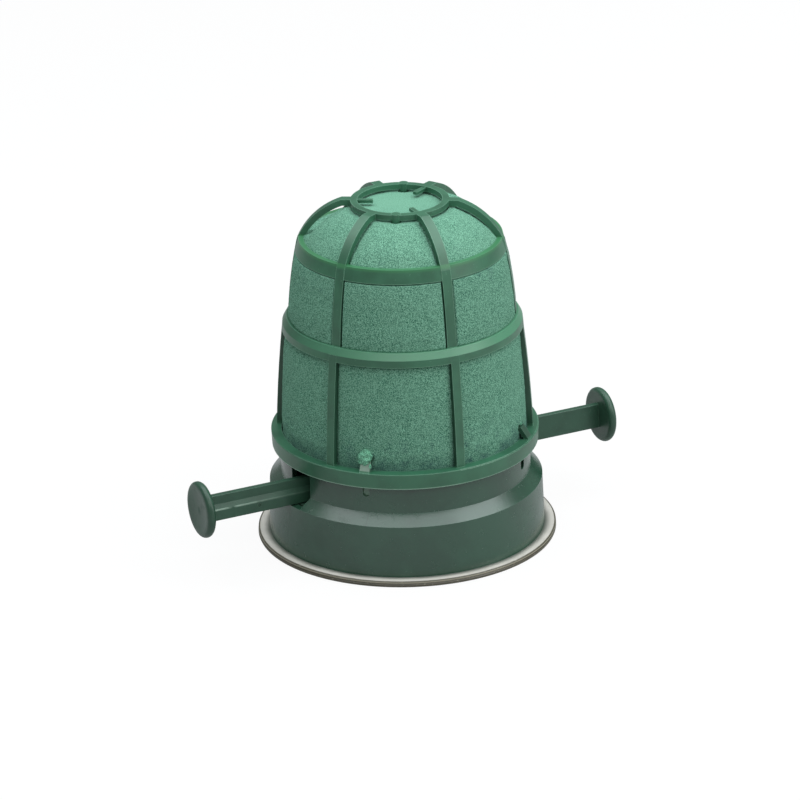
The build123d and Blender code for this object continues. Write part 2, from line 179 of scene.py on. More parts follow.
class Graph:
    """The node tree of one material or of the world."""

    def __init__(self, tree: bpy.types.NodeTree) -> None:
        """Takes over the node tree of a material or a world and empties it."""
        self.tree = tree
        self.tree.nodes.clear()

    def node(self, kind: str, settings: dict[str, Any] | None = None,
             inputs: dict[str | int, Any] | None = None) -> NodeOutputs:
        """Makes a node: its settings first, then its inputs.

        Args:
            kind: The node type's own name.
            settings: Properties of the node.
            inputs: Values, or fields to link, by the socket's name or place.

        Returns:
            The new node's outputs.
        """
        made = self.tree.nodes.new(kind)
        for name, value in (settings or {}).items():
            setattr(made, name, value)
        for key, value in (inputs or {}).items():
            if isinstance(value, Field):
                self.tree.links.new(value.socket, made.inputs[key])
            else:
                made.inputs[key].default_value = value
        return NodeOutputs(self, made)

    def place(self) -> Field:
        """The surface point in the part's own frame, in metres."""
        return self.node("ShaderNodeTexCoord").field("Object")

    def spot(self, place: Field) -> Spot:
        """Splits a point or a direction into its three numbers."""
        parts = self.node("ShaderNodeSeparateXYZ", inputs={"Vector": place})
        return Spot(place, parts.field("X"), parts.field("Y"), parts.field("Z"))

    def speckle(self, place: Field, grain_mm: float, detail: float = 2.0,
                rough: float = 0.5) -> Field:
        """Soft noise from 0 to 1.

        Args:
            place: Where the noise is looked up, in metres.
            grain_mm: The size of its grain in millimetres.
            detail: How many finer layers it has.
            rough: How strong those layers are.

        Returns:
            The noise.
        """
        inputs = {"Vector": place, "Scale": 1.0 / (grain_mm * MM), "Detail": detail,
                  "Roughness": rough}
        return self.node("ShaderNodeTexNoise", {"noise_dimensions": "3D"}, inputs).field("Fac")

    def mix(self, share: Field, first: Any, second: Any) -> Field:
        """Blends two colours.

        Args:
            share: How much of the second one shows.
            first: A colour or a field of colour.
            second: A colour or a field of colour.

        Returns:
            The blended colour.
        """
        under, over = (c if isinstance(c, Field) else (*c, 1.0) for c in (first, second))
        inputs = {0: share, 6: under, 7: over}
        return self.node("ShaderNodeMix", {"data_type": "RGBA"}, inputs).field(2)

    def bump(self, height: Field, depth_mm: float, strength: float = 1.0) -> Field:
        """A normal bent by a height field, where a height of 1 stands for the depth."""
        inputs = {"Height": height, "Distance": depth_mm * MM, "Strength": strength}
        return self.node("ShaderNodeBump", inputs=inputs).field("Normal")


def srgb(*levels: int) -> Colour:
    """Turns red, green and blue from 0 to 255 into the linear colour that a shader takes."""
    shares = [level / 255.0 for level in levels]
    return tuple(s / 12.92 if s <= 0.04045 else ((s + 0.055) / 1.055) ** 2.4 for s in shares)


def scaled(colour: Colour, factor: float) -> Colour:
    """A darker or lighter copy of a colour, with no channel above 1."""
    return tuple(min(1.0, channel * factor) for channel in colour)


# ---- Finishes ----
class Finish:
    """A finish that can be laid on pieces; each kind fills in its own graph."""

    name: str

    def paint(self, graph: Graph) -> dict[str, Any]:
        """Gives the inputs of the shader that the finish is made with."""
        raise NotImplementedError

    def material(self) -> bpy.types.Material:
        """Builds the material once and hands it out again after that.

        Returns:
            The material.
        """
        found = bpy.data.materials.get(self.name)
        if found:
            return found
        made = bpy.data.materials.new(self.name)
        made.use_nodes = True
        graph = Graph(made.node_tree)
        shader = graph.node("ShaderNodeBsdfPrincipled", inputs=self.paint(graph)).field("BSDF")
        graph.node("ShaderNodeOutputMaterial", inputs={"Surface": shader})
        return made


@dataclass(frozen=True)
class SatinPlastic(Finish):
    """Moulded plastic with a fine satin skin, faint flow clouds, a painted highlight along its
    edges, painted shade in its crevices and a few specks.
    """

    name: str
    colour: Colour
    edge_colour: Colour
    roughness: float = 0.42
    cloud_mm: float = 14.0
    edge_mm: float = 0.35
    crevice_mm: float = 3.5
    crevice_shade_share: float = 0.5
    scuffs: float = 0.3
    skin_mm: float = 0.35
    skin_depth_mm: float = 0.012
    shine: float = 0.5

    def paint(self, graph: Graph) -> dict[str, Any]:
        """Clouds, a painted highlight along the edges and painted shade in the crevices colour the
        plastic; the skin is a fine bump.

        Args:
            graph: The material's graph.

        Returns:
            The shader's inputs.
        """
        place = graph.place()
        cloud = graph.speckle(place, self.cloud_mm, 3.0, 0.55)
        darker, lighter = scaled(self.colour, 0.86), scaled(self.colour, 1.13)
        body = graph.mix(cloud.ramp(0.36, 0.64), darker, lighter)
        # Painted highlight: sharp edges are lightened toward the edge colour, as if their rounding
        # caught the light.
        reach = {"Radius": self.edge_mm * MM}
        rounded = graph.node("ShaderNodeBevel", {"samples": EDGE_SAMPLES}, reach).field(0)
        flat = graph.node("ShaderNodeNewGeometry").field("Normal")
        along = graph.node("ShaderNodeVectorMath", {"operation": "DOT_PRODUCT"},
                           {0: rounded, 1: flat}).field("Value")
        body = graph.mix(along.ramp(0.995, 0.90) * 0.7, body, self.edge_colour)
        speck = graph.speckle(place, 1.1, 1.0).ramp(0.735, 0.76)
        body = graph.mix(speck * 0.2, body, self.edge_colour)
        body = self.marks(graph, graph.spot(place), body)
        # Painted shade: ambient occlusion darkens crevices and faces close beside the foam.
        reach = {"Distance": self.crevice_mm * MM}
        open_sky = graph.node("ShaderNodeAmbientOcclusion", {"samples": SKY_SAMPLES}, reach)
        crevice_shade = open_sky.field("AO").ramp(0.62, 0.20)
        body = graph.mix(crevice_shade * self.crevice_shade_share, body, scaled(self.colour, 0.3))
        scuff = graph.speckle(place, 5.0, 4.0, 0.62).ramp(0.55, 0.72) * self.scuffs
        skin = graph.speckle(place, self.skin_mm, 2.0)
        swell = graph.speckle(place, 9.0, 1.0) * 6.0
        matt = self.roughness + cloud * 0.06
        return {
            "Base Color": body,
            "Roughness": scuff * 0.25 + matt,
            "Normal": graph.bump(skin + swell, self.skin_depth_mm),
            "IOR": PLASTIC_IOR,
            "Specular IOR Level": self.shine,
        }

    def marks(self, graph: Graph, spot: Spot, body: Field) -> Field:
        """Marks that only one moulding carries; a plain one has none."""
        return body


@dataclass(frozen=True, kw_only=True)
class BasePlastic(SatinPlastic):
    """The base's plastic: a parting line over the shoulder, and painted shade in the neck's notches
    with a painted lit middle.
    """

    seam_turn: float = -132.9
    seam_low: float = 0.0233
    seam_high: float = 0.0272
    notch_turn: float = -134.0
    notch_radius: float = 0.0496
    notch_low: float = 0.0322
    notch_high: float = 0.0384
    notch_lit_colour: Colour

    def marks(self, graph: Graph, spot: Spot, body: Field) -> Field:
        """Draws the parting line, and painted shade with a painted lit middle inside the notches.

        Args:
            graph: The material's graph.
            spot: The surface point.
            body: The colour so far.

        Returns:
            The marked colour.
        """
        dark = scaled(self.colour, 0.45)
        seam = abs(spot.aside(self.seam_turn)).ramp(0.00022, 0.00008)
        seam = seam * spot.z.between(self.seam_low, self.seam_high, 0.0001)
        body = graph.mix(seam * 0.6, body, dark)
        # Painted shade inside the notches, lightened to the painted lit colour near their middle.
        notch = spot.radius().ramp(self.notch_radius + 0.0001, self.notch_radius)
        notch = notch * spot.z.between(self.notch_low, self.notch_high, 0.0002)
        lit = abs(spot.aside(self.notch_turn) + 0.0006).ramp(0.0020, 0.0014)
        return graph.mix(notch * 0.9, body, graph.mix(lit, dark, self.notch_lit_colour))


@dataclass(frozen=True, kw_only=True)
class CagePlastic(SatinPlastic):
    """The cage's plastic: painted shade on the rib flanks, painted light and shade on the hooks,
    painted highlights on the ledge and the rim foot, and a painted lit hoop lip.
    """

    flank_low: float = 0.0455
    flank_top: float = 0.118
    hook_turns: Pair = (-133.6, -46.4)
    hook_foot: Pair = (0.0455, 0.0458)
    hook_top: Pair = (0.0507, 0.0503)
    hook_radii: Pair = (0.0484, 0.0488)
    hook_halves: Pair = (0.0023, 0.0021)
    hook_light_and_shade_colours: tuple[Colour, Colour]
    foot_line: float = 0.0391
    foot_highlight_colour: Colour
    ledge_low: float = 0.0905
    ledge_high: float = 0.0930
    ledge_highlight_colour: Colour
    sheen_turn: float = -60.0
    lip_low: float = 0.1236
    lip_full: float = 0.1248
    lip_high: float = 0.1256
    lit_lip_colour: Colour

    def marks(self, graph: Graph, spot: Spot, body: Field) -> Field:
        """Paints shade on the ribs' flanks, light and shade on the hooks, and highlights on the
        rim's foot, the ledge and the lip.

        Args:
            graph: The material's graph.
            spot: The surface point.
            body: The colour so far.

        Returns:
            The marked colour.
        """
        radius = spot.radius()
        facing = graph.spot(graph.node("ShaderNodeNewGeometry").field("True Normal"))
        # Painted shade on the ribs' flanks, where they stand beside the foam.
        flank_shade = (abs(facing.y * spot.x - facing.x * spot.y) / radius).ramp(0.45, 0.75)
        flank_shade = flank_shade * spot.z.ramp(self.flank_low, self.flank_low + 0.001)
        flank_shade = flank_shade * spot.z.ramp(self.flank_top, self.flank_top - 0.004)
        depth = spot.z.ramp(self.ledge_high, self.ledge_low) * 0.27 + 0.35
        body = graph.mix(flank_shade * depth, body, scaled(self.colour, 0.22))
        # Painted light on the first hook and painted shade on the second one.
        standing = spot.z.ramp(*self.hook_foot) * spot.z.ramp(*self.hook_top)
        standing = standing * radius.ramp(*self.hook_radii) * (1.0 - flank_shade)
        for degrees, colour in zip(self.hook_turns, self.hook_light_and_shade_colours):
            hook = abs(spot.aside(degrees)).ramp(*self.hook_halves)
            body = graph.mix(hook * standing * 0.6, body, colour)
        # Painted highlight: a pale line along the lower edge of the rim band.
        foot = spot.z.ramp(self.foot_line + 0.00015, self.foot_line - 0.00015)
        body = graph.mix(foot * 0.8, body, self.foot_highlight_colour)
        # Painted highlight on the mid hoop's ledge, stronger on the side that faces the sheen turn.
        ledge = spot.z.between(self.ledge_low, self.ledge_high, 0.0003)
        wear_and_sheen = (spot.toward(self.sheen_turn) / radius).ramp(-0.55, 0.35)
        body = graph.mix(ledge * wear_and_sheen * 0.55, body, self.ledge_highlight_colour)
        # Painted light: the upper hoop's lip is coloured a brighter green, as if lit through its
        # thin wall.
        lip = spot.z.ramp(self.lip_low, self.lip_full)
        lip = lip * spot.z.ramp(self.lip_high + 0.0001, self.lip_high)
        return graph.mix(lip * 0.6, body, self.lit_lip_colour)


@dataclass(frozen=True, kw_only=True)
class BarPlastic(SatinPlastic):
    """The bars' plastic, with a painted highlight along the lip of the rail."""

    lip_low: float = 0.02770
    lip_high: float = 0.02815
    lip_across: float = 0.0073
    lip_along: float = 0.0893
    lip_fade: float = 0.0002
    bright_from: float = 0.052
    lit_lip_colour: Colour

    def marks(self, graph: Graph, spot: Spot, body: Field) -> Field:
        """Draws a painted highlight along the lip, with breaks in it.

        Args:
            graph: The material's graph.
            spot: The surface point.
            body: The colour so far.

        Returns:
            The marked colour.
        """
        # Painted highlight along the rail's lip, brighter toward the bar's outer end.
        lip = spot.z.between(self.lip_low, self.lip_high, self.lip_fade)
        lip = lip * abs(spot.y).ramp(self.lip_across, self.lip_across + self.lip_fade)
        lip = lip * abs(spot.x).ramp(self.lip_along, self.lip_along - 0.0004)
        wear_and_sheen = graph.speckle(spot.whole, 7.0, 2.0).ramp(0.34, 0.50)
        outward = abs(spot.x).ramp(self.bright_from, self.lip_along) * 0.75 + 0.1
        return graph.mix(lip * wear_and_sheen * outward, body, self.lit_lip_colour)


@dataclass(frozen=True)
class FoamCells(Finish):
    """Open-cell floral foam: pale cells over dark pits, calm on its cut top, with painted bluish
    shade at its foot.
    """

    name: str
    cell_colour: Colour
    pit_colour: Colour
    scuff_and_shade_colour: Colour
    cell_mm: float = 0.40
    fine_mm: float = 0.26
    dome_foot: float = 0.112
    cut_face: float = 0.1362
    cut_radius: float = 0.0205
    cloud_mm: float = 9.0
    foot_top: float = 0.0515
    low_top: float = 0.066
    hoop_low: Pair = (0.110, 0.118)
    hoop_top: Pair = (0.133, 0.126)
    pit_depth_mm: float = 0.48

    def paint(self, graph: Graph) -> dict[str, Any]:
        """Cells give both the colour and the bump, so that pits are dark and sunk.

        Args:
            graph: The material's graph.

        Returns:
            The shader's inputs.
        """
        place = graph.place()
        cell = graph.speckle(place, self.cell_mm, 3.0, 0.6)
        fine = graph.speckle(place, self.fine_mm, 2.0, 0.6)
        grain = cell * 0.55 + fine * 0.45
        cloud = graph.speckle(place, self.cloud_mm, 3.0, 0.5)
        spot = graph.spot(place)
        calm = spot.z.ramp(self.dome_foot, self.cut_face) * 0.12
        rim, face = self.cut_radius, self.cut_face
        cut = spot.radius().ramp(rim + 0.001, rim - 0.001)
        calm = calm + cut * spot.z.ramp(face - 0.001, face) * 0.52
        tops = grain.ramp(0.40, 0.595)
        tops = tops + (0.64 - tops) * calm
        body = graph.mix(tops, self.pit_colour, self.cell_colour)
        shade = scaled(self.cell_colour, 0.8)
        body = graph.mix(cloud.ramp(0.62, 0.40) * 0.15, body, shade)
        # Painted shade: darker and bluish toward the foot, in the scuff and shade colour.
        foot = spot.z.ramp(self.foot_top, self.foot_top - 0.0065)
        foot = foot * cloud.ramp(0.66, 0.42) * 0.5
        body = graph.mix(foot, body, self.scuff_and_shade_colour)
        streak = graph.speckle(place, 3.2, 5.0, 0.68).ramp(0.46, 0.68)
        wear_and_sheen = spot.z.ramp(self.low_top, self.low_top - 0.018) * 0.85
        hoop = spot.z.ramp(*self.hoop_top) * spot.z.ramp(*self.hoop_low)
        wear_and_sheen = wear_and_sheen + hoop * graph.speckle(place, 26.0, 1.0).ramp(0.46, 0.60) * 0.7
        body = graph.mix(streak * wear_and_sheen * (1.15 - tops), body, self.scuff_and_shade_colour)
        return {
            "Base Color": body,
            "Roughness": 0.96,
            "Normal": graph.bump(grain * (1.0 - calm), self.pit_depth_mm, 0.8),
            "Specular IOR Level": 0.15,
        }


@dataclass(frozen=True)
class SoftVinyl(Finish):
    """Pale soft vinyl: painted shade beside the housing, and a light line along its dark cut edge.
    """

    name: str
    colour: Colour
    edge_colour: Colour
    line_colour: Colour
    shade_colour: Colour
    shade_span: Pair = (0.0583, 0.0552)
    edge_span: Pair = (0.05915, 0.05935)
    line_low: float = 0.00150
    line_high: float = 0.00205

    def paint(self, graph: Graph) -> dict[str, Any]:
        """The edge is found from the distance to the axis, and its line from the height.

        Args:
            graph: The material's graph.

        Returns:
            The shader's inputs.
        """
        place = graph.place()
        spot = graph.spot(place)
        radius = spot.radius()
        cloud = graph.speckle(place, 12.0, 3.0)
        darker = scaled(self.colour, 0.93)
        body = graph.mix(cloud.ramp(0.35, 0.65), darker, self.colour)
        # Painted shade beside the housing, with its border wavering with the clouds.
        wavering = radius + (cloud - 0.5) * 0.001
        body = graph.mix(wavering.ramp(*self.shade_span), body, self.shade_colour)
        glint = graph.speckle(place, 1.3, 2.0, 0.6).ramp(0.60, 0.68)
        edge = graph.mix(glint * 0.35, self.edge_colour, self.line_colour)
        line = spot.z.between(self.line_low, self.line_high, 0.0001)
        edge = graph.mix(line, edge, self.line_colour)
        return {
            "Base Color": graph.mix(radius.ramp(*self.edge_span), body, edge),
            "Roughness": cloud * 0.08 + 0.30,
            "Normal": graph.bump(graph.speckle(place, 2.5, 2.0), 0.02),
            "IOR": VINYL_IOR,
            "Subsurface Weight": 0.12,
            "Subsurface Radius": (0.004, 0.004, 0.0035),
        }


@dataclass(frozen=True)
class DrawnSteel(Finish):
    """Plain steel with fine drawing marks."""

    name: str
    colour: Colour
    roughness: float = 0.30
    mark_mm: float = 0.25

    def paint(self, graph: Graph) -> dict[str, Any]:
        """Fine marks in the roughness and the bump.

        Args:
            graph: The material's graph.

        Returns:
            The shader's inputs.
        """
        marks = graph.speckle(graph.place(), self.mark_mm, 3.0, 0.6)
        darker = scaled(self.colour, 0.9)
        return {
            "Base Color": graph.mix(marks.ramp(0.4, 0.6), darker, self.colour),
            "Metallic": 1.0,
            "Roughness": marks * 0.15 + self.roughness,
            "Normal": graph.bump(marks, 0.006),
        }


CAGE_GREEN = CagePlastic(
    "cage_green", srgb(49, 99, 74), srgb(118, 168, 142), roughness=0.35, edge_mm=0.45, shine=0.62,
    lit_lip_colour=srgb(58, 126, 78), ledge_highlight_colour=srgb(88, 150, 116), foot_highlight_colour=srgb(140, 178, 156),
    hook_light_and_shade_colours=(srgb(140, 158, 146), srgb(30, 50, 40)))
BASE_GREEN = BasePlastic(
    "base_green", srgb(38, 74, 57), srgb(80, 116, 98), roughness=0.19, cloud_mm=22.0,
    scuffs=0.35, shine=0.8, notch_lit_colour=srgb(84, 122, 98))
BAR_GREEN = BarPlastic(
    "bar_green", srgb(44, 78, 61), srgb(92, 126, 106), roughness=0.34, scuffs=0.5,
    lit_lip_colour=srgb(150, 176, 160))
INNER_GREEN = SatinPlastic("inner_green", srgb(48, 80, 64), srgb(84, 116, 98), roughness=0.5)
FOAM_GREEN = FoamCells("foam_green", srgb(130, 184, 158), srgb(38, 90, 71), srgb(42, 74, 76))
FOAM_CRUMB = FoamCells(
    "foam_crumb", srgb(140, 206, 174), srgb(56, 116, 90), srgb(56, 116, 90),
    low_top=0.0, foot_top=0.0)
CUP_VINYL = SoftVinyl(
    "pale_vinyl", srgb(208, 205, 197), srgb(80, 78, 64), srgb(152, 148, 130), srgb(88, 94, 86))
STEEL = DrawnSteel("plain_steel", srgb(196, 198, 200))


# ---- Mesh helpers ----
def smooth(low: float, high: float, value: np.ndarray) -> np.ndarray:
    """Rises smoothly from 0 at low to 1 at high."""
    share = np.clip((value - low) / (high - low), 0.0, 1.0)
    return share * share * (3.0 - 2.0 * share)


def bowed(start: Pair, end: Pair, bow: float, share: np.ndarray) -> np.ndarray:
    """Points on a shallow bow from start to end, on the left of that direction.

    Args:
        start: The first (radius, height).
        end: The last (radius, height).
        bow: How far the middle stands off the straight line.
        share: How far along, from 0 to 1.

    Returns:
        One (radius, height) row for each share.
    """
    a, b = np.array(start, float), np.array(end, float)
    along = (b - a) / np.linalg.norm(b - a)
    left = np.array([-along[1], along[0]])
    lift = 4.0 * bow * share * (1.0 - share)
    return a + np.outer(share, b - a) + np.outer(lift, left)


def outward_of(rows: np.ndarray) -> np.ndarray:
    """Finds the way out of an outline that runs upward.

    Args:
        rows: The outline's (radius, height) rows.

    Returns:
        One (radius, height) direction for each row, of length 1.
    """
    along = np.gradient(rows, axis=0)
    outward = np.stack([along[:, 1], -along[:, 0]], axis=-1)
    return outward / np.linalg.norm(outward, axis=1, keepdims=True)


def mesh_piece(name: str, points: Iterable[Sequence[float]], faces: Iterable[Sequence[int]],
               finish: Finish) -> bpy.types.Object:
    """Makes a mesh object from points in metres.

    Args:
        name: The piece's name.
        points: Its points.
        faces: Its faces as rows of point numbers.
        finish: What it is made of.

    Returns:
        The new object.
    """
    mesh = bpy.data.meshes.new(name)
    mesh.from_pydata([tuple(p) for p in points], [], [tuple(f) for f in faces])
    mesh.polygons.foreach_set("use_smooth", [True] * len(mesh.polygons))
    mesh.materials.append(finish.material())
    mesh.update()
    piece = bpy.data.objects.new(name, mesh)
    bpy.context.scene.collection.objects.link(piece)
    return piece


def lathe(name: str, profile: Sequence[Pair], segments: int, finish: Finish) -> bpy.types.Object:
    """Turns a closed or axis-to-axis profile about Z.

    Args:
        name: The piece's name.
        profile: (radius, height) in millimetres, in order; the ends may lie on the axis.
        segments: How many steps it turns in.
        finish: What it is made of.

    Returns:
        The new object.
    """
    turns = [2.0 * math.pi * step / segments for step in range(segments)]
    circle = [(math.cos(turn), math.sin(turn)) for turn in turns]
    points: list[Triple] = []
    rings: list[list[int]] = []
    for radius, height in profile:
        ring = [(0.0, 0.0)] if radius < ON_AXIS else circle
        rings.append([len(points) + step % len(ring) for step in range(segments)])
        points += [(radius * MM * x, radius * MM * y, height * MM) for x, y in ring]
    on_axis = profile[0][0] < ON_AXIS and profile[-1][0] < ON_AXIS
    pairs = list(zip(rings, rings[1:])) + ([] if on_axis else [(rings[-1], rings[0])])
    faces = []
    for lower, upper in pairs:
        for step in range(segments):
            after = (step + 1) % segments
            face = dict.fromkeys((lower[step], lower[after], upper[after], upper[step]))
            faces += [list(face)] if len(face) > 2 else []
    return mesh_piece(name, points, faces, finish)


# ---- Cage, base and bars ----
class Body(Enum):
    """The bodies that pieces ride on."""

    HOLDER = "holder"
    LIFT = "lift"


@dataclass
class Mouldings:
    """The hard plastic and steel parts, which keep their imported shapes."""

    bevel_mm: float = 0.18
    bevel_steps: int = 2
    bevel_angle: float = 38.0
    edged: tuple[tuple[str, Finish, str], ...] = (
        ("cage", CAGE_GREEN, "cage_plastic"),
        ("base_housing", BASE_GREEN, "base_plastic"),
        ("slide_bar_left", BAR_GREEN, "bar_plastic"),
        ("slide_bar_right", BAR_GREEN, "bar_plastic"),
    )
    plain: tuple[tuple[str, Finish, str], ...] = (
        ("guide_frame", INNER_GREEN, "guide_plastic"),
        ("lift_stud", INNER_GREEN, "guide_plastic"),
        ("guide_screws", STEEL, "screw_steel"),
        ("lift_pin", STEEL, "pin_steel"),
    )

    def dress(self) -> list[bpy.types.Object]:
        """Gives every hard node its finish and rounds the edges that show.

        Returns:
            The dressed objects.
        """
        dressed = []
        for node, finish, slot in self.edged + self.plain:
            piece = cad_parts[node]
            piece.data.materials.clear()
            piece.data.materials.append(finish.material())
            dressed.append(piece)
        for piece in dressed[:len(self.edged)]:
            self._round_edges(piece)
        return dressed

    def _round_edges(self, piece: bpy.types.Object) -> None:
        """Adds a small rounding to a piece's sharp edges.

        Args:
            piece: The node's object.
        """
        bevel = piece.modifiers.new("edge_round", "BEVEL")
        bevel.width = self.bevel_mm * MM
        bevel.segments = self.bevel_steps
        bevel.limit_method = "ANGLE"
        bevel.angle_limit = math.radians(self.bevel_angle)
        bevel.harden_normals = False


# ---- Foam ----
@dataclass(frozen=True)
class Grid:
    """The foam before it is pressed: a column of radii, one of heights, and a row of angles."""

    radius: np.ndarray
    height: np.ndarray
    turns: np.ndarray

    def apart(self, degrees: Sequence[float], period: float = math.pi) -> np.ndarray:
        """Angle to the nearest of some directions; a period of pi takes in their opposites."""
        away = (self.turns - np.radians(degrees)[:, None]) % period
        return np.minimum(away, period - away).min(axis=0, keepdims=True)


@dataclass(frozen=True)
class HoopSeat:
    """A hoop's groove in the foam: the hoop's end heights, its bores there, and the groove's ends.

    Rise and fall say where the groove begins and where it stops, counted from the end heights.
    """

    ends: Pair
    bores: Pair
    rise: Pair
    fall: Pair

    def depth(self, grid: Grid) -> np.ndarray:
        """How far the hoop presses the foam in.

        Args:
            grid: The foam's grid.

        Returns:
            The depth at each height.
        """
        (low, high), height = self.ends, grid.height
        share = np.clip((height - low) / (high - low), 0.0, 1.0)
        bore = self.bores[0] * (1.0 - share) + self.bores[1] * share
        inside = smooth(low + self.rise[0], low + self.rise[1], height)
        inside = inside * (1.0 - smooth(high + self.fall[0], high + self.fall[1], height))
        return inside * (grid.radius - bore + CAGE_BITE)


@dataclass
class FoamBlock:
    """The foam: a domed block that swells between the cage's ribs and hoops."""

    foot: Pair = (49.0, 43.25)
    under_mid_hoop: Pair = (46.4, 87.4)
    over_mid_hoop: Pair = (45.1, 93.1)
    under_upper_hoop: Pair = (41.7, 119.6)
    over_upper_hoop: Pair = (38.1, 125.2)
    crown: Pair = (22.0, 137.2)
    axis_gap: float = 0.8
    bows: tuple[float, ...] = (-0.4, 0.0, -0.35, -0.2, -1.45, 0.0)
    hoop_seats: tuple[HoopSeat, ...] = (
        HoopSeat((87.4, 93.1), (44.4, 44.4), (-0.3, 0.2), (-0.6, 0.0)),
        HoopSeat((119.6, 125.2), (39.7, 38.2), (-0.4, 0.1), (-0.5, 0.1)),
    )
    cage_turn: float = -30.8
    rib_spread: float = 60.0
    rib_depth: float = 2.5
    rib_bow: float = 0.65
    rib_width: float = 3.9
    lower_rib_width: float = 3.5
    lower_rib_bite: float = 0.5
    upper_rib_bite: float = 0.9
    shoulder: Pair = (41.0, 123.5)
    waist: Pair = (45.2, 93.0)
    dent_turn: float = 118.0
    dent_depth: float = 3.2
    dent_reach: Pair = (0.44, 0.88)
    dent_heights: Pair = (124.8, 128.6)
    dent_radii: Pair = (20.5, 26.5)
    ring_middle: float = 18.1
    ring_reach: Pair = (0.6, 1.6)
    ring_gap: float = 0.9
    stop_reach: Pair = (1.6, 2.8)
    stop_gap: float = 1.9
    hook_turns: Pair = (-133.6, -46.4)
    hook_width: float = 4.0
    hook_root: float = 52.0
    hook_lean: float = 35.0
    hook_top: float = 50.1
    row_step: float = 0.45
    segments: int = 640
    swell: float = 0.35
    swell_from_ribs: Pair = (0.0, 7.0)
    swell_from_hoops: Pair = (2.5, 9.0)
    hoop_middles: Pair = (90.2, 122.4)
    lump_mm: float = 7.0
    lump_height: float = 0.14
    cell_mm: float = 1.35
    cell_height: float = 0.12
    pit_mm: float = 0.75
    pit_sink: float = 0.17
    cut_radii: Pair = (19.5, 21.5)

    def build(self) -> bpy.types.Object:
        """Makes the foam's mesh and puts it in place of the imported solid.

        Returns:
            The foam.
        """
        rows = self._rows()
        turns = np.arange(self.segments) * 2.0 * math.pi / self.segments
        radius, height, sink = self._relief(rows, turns)
        x, y = radius * np.cos(turns), radius * np.sin(turns)
        points = np.stack([x, y, height], axis=-1).reshape(-1, 3)
        points += self._grain(points, rows, sink)
        centres = [[0.0, 0.0, rows[-1, 1]], [0.0, 0.0, rows[0, 1]]]
        faces = self._faces(len(rows))
        foam = mesh_piece("foam_surface", np.vstack([points, centres]) * MM, faces, FOAM_GREEN)
        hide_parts("foam_block")
        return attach(foam, Body.HOLDER.value)

    def _rows(self) -> np.ndarray:
        """Lays out the outline from the foot to near the axis.

        Returns:
            Its (radius, height) rows.
        """
        corners = [self.foot, self.under_mid_hoop, self.over_mid_hoop, self.under_upper_hoop,
                   self.over_upper_hoop, self.crown, (self.axis_gap, self.crown[1])]
        rows = []
        for start, end, bow in zip(corners, corners[1:], self.bows):
            steps = max(2, round(math.dist(start, end) / self.row_step))
            rows.append(bowed(start, end, bow, np.arange(steps) / steps))
        return np.vstack(rows)

    def _relief(self, rows: np.ndarray, turns: np.ndarray) -> tuple[np.ndarray, ...]:
        """Sinks the outline under the cage and swells it between ribs and hoops.

        Args:
            rows: The outline.
            turns: The angle of each column.

        Returns:
            Radius, height, and how far each point is pressed in, one row for each outline row.
        """
        grid = Grid(rows[:, 0:1], rows[:, 1:2], turns)
        radius, height = grid.radius, grid.height
        lower = height < self.under_mid_hoop[1]
        half_width = np.where(lower, self.lower_rib_width, self.rib_width) / 2.0
        ribs = [self.cage_turn + side for side in (-self.rib_spread, 0.0, self.rib_spread)]
        off_rib = radius * grid.apart(ribs) - half_width
        on_side = height < self.crown[1] - 0.05
        pressed = (1.0 - smooth(0.0, 0.6, off_rib)) * self._rib_bite(grid) * on_side
        for seat in self.hoop_seats:
            pressed = np.maximum(pressed, seat.depth(grid))
        pressed = np.maximum(pressed, self._at_hooks(grid))
        dent = 1.0 - smooth(*self.dent_reach, grid.apart([self.dent_turn], 2.0 * math.pi))
        dent = dent * smooth(*self.dent_heights, height) * smooth(*self.dent_radii, radius)
        pressed = np.maximum(pressed + dent * self.dent_depth, self._under_ring(grid))
        levels = (self.foot[1], *self.hoop_middles)
        off_hoop = np.minimum.reduce([np.abs(height - level) for level in levels])
        swell = self.swell * smooth(*self.swell_from_ribs, off_rib) * on_side
        move = swell * smooth(*self.swell_from_hoops, off_hoop) - pressed
        outward = outward_of(rows)
        return radius + move * outward[:, 0:1], height + move * outward[:, 1:2], pressed

    def _rib_bite(self, grid: Grid) -> np.ndarray:
        """How deep the ribs press into the foam.

        Args:
            grid: The foam's grid.

        Returns:
            The depth at each height.
        """
        height = grid.height
        share = (self.shoulder[1] - height) / (self.shoulder[1] - self.waist[1])
        share = np.clip(share, 0.0, 1.0)[:, 0]
        rib_line = bowed(self.shoulder, self.waist, self.rib_bow, share)[:, 0:1]
        wall = grid.radius - (rib_line - self.rib_depth) + CAGE_BITE
        upper = np.where(height < self.under_upper_hoop[1] + 1.0, wall, self.upper_rib_bite)
        return np.where(height < self.under_mid_hoop[1], self.lower_rib_bite, upper)

    def _at_hooks(self, grid: Grid) -> np.ndarray:
        """How far the leaning hooks press the foot of the foam in.

        Args:
            grid: The foam's grid.

        Returns:
            The depth of each point.
        """
        off_hook = grid.radius * grid.apart(self.hook_turns) - self.hook_width / 2.0
        lean = math.tan(math.radians(self.hook_lean))
        hook_line = self.hook_root - (grid.height - self.foot[1]) * lean
        below_top = 1.0 - smooth(0.0, 0.7, grid.height - self.hook_top)
        return (1.0 - smooth(0.2, 0.9, off_hook)) * below_top * (grid.radius - hook_line)

